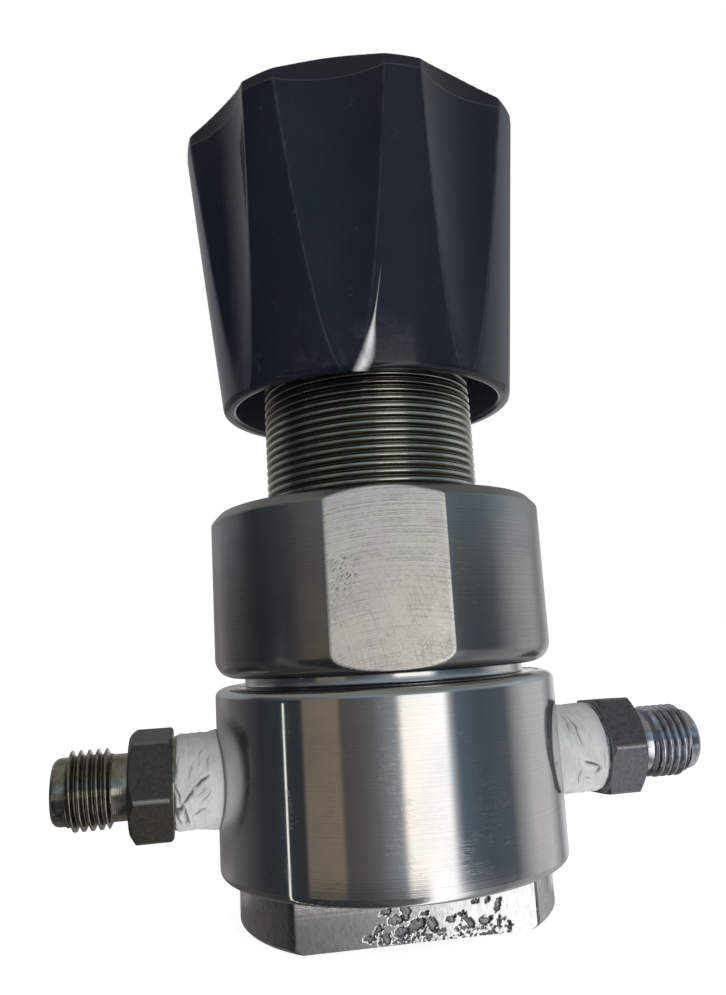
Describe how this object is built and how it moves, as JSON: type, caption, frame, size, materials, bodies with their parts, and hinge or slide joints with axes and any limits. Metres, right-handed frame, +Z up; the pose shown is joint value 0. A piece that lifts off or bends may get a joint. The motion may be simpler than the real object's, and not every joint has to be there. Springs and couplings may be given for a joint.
{
  "type": "flow control valve",
  "caption": "Hand-set, spring-loaded pressure control valve: round metal body with two side tube fittings, flatted base cap and bonnet, fine-threaded spring housing and a fluted black knob.",
  "frame": {"origin": "centre of the base cap's flat bottom face, on the valve's axis", "axes": "+Z up the valve's axis to the knob, +X along the ports from inlet to outlet, -Y towards the front"},
  "size_m": [0.1035, 0.0582, 0.1283],
  "materials": {
    "turned_stainless": "polished, turned",
    "dark_steel": "dull turned and milled",
    "thread_steel": "oiled thread",
    "fitting_steel": "worn stainless",
    "knob_black": "glossy moulded phenolic",
    "ptfe_tape": "thin white tape",
    "seat_polymer": "machined",
    "seal_rubber": "matt",
    "spring_steel": "drawn wire",
    "bright_steel": "ground",
    "brass": "machined",
    "sintered_metal": "porous"
  },
  "bodies": {
    "housing": {"body": "turned_stainless", "base_cap": "turned_stainless", "base_cap_oring": "seal_rubber", "seat_cage": "bright_steel", "valve_seat": "seat_polymer", "poppet_spring": "spring_steel", "piston_guide": "bright_steel", "guide_oring": "seal_rubber", "threaded_sleeve": "thread_steel", "bonnet": "dark_steel", "bonnet_slip_ring": "brass", "inlet_filter": "sintered_metal", "inlet_fitting": "fitting_steel", "outlet_fitting": "fitting_steel", "inlet_tape": "ptfe_tape", "outlet_tape": "ptfe_tape", "load_spring": "spring_steel"},
    "piston": {"sensing_piston": "bright_steel", "piston_oring": "seal_rubber", "piston_backup_ring": "ptfe_tape", "lower_spring_button": "bright_steel", "valve_poppet": "bright_steel"},
    "spring_follower": {"upper_spring_button": "bright_steel", "thrust_ball": "bright_steel"},
    "adjuster": {"adjusting_screw": "bright_steel", "stop_collar": "bright_steel", "collar_clip": "spring_steel", "knob": "knob_black", "knob_insert": "brass", "knob_screw": "bright_steel", "knob_cap": "knob_black"}
  },
  "joints": [
    {"name": "piston_lift", "type": "slide", "parent": "housing", "child": "piston", "axis": [0, 0, 1], "range_m": [0, 0.0008], "deforming": ["poppet_spring", "load_spring"]},
    {"name": "screw_travel", "type": "slide", "parent": "housing", "child": "spring_follower", "axis": [0, 0, -1], "range_m": [0, 0.0128], "deforming": ["load_spring"]},
    {"name": "knob_turn", "type": "hinge", "parent": "spring_follower", "child": "adjuster", "pos_m": [0, 0, 0.08], "axis": [0, 0, -1], "range_deg": [0, 4300]}
  ],
  "couplings": [
    {"joint": "screw_travel", "follows": "knob_turn", "m_per_rad": 0.00016844}
  ]
}
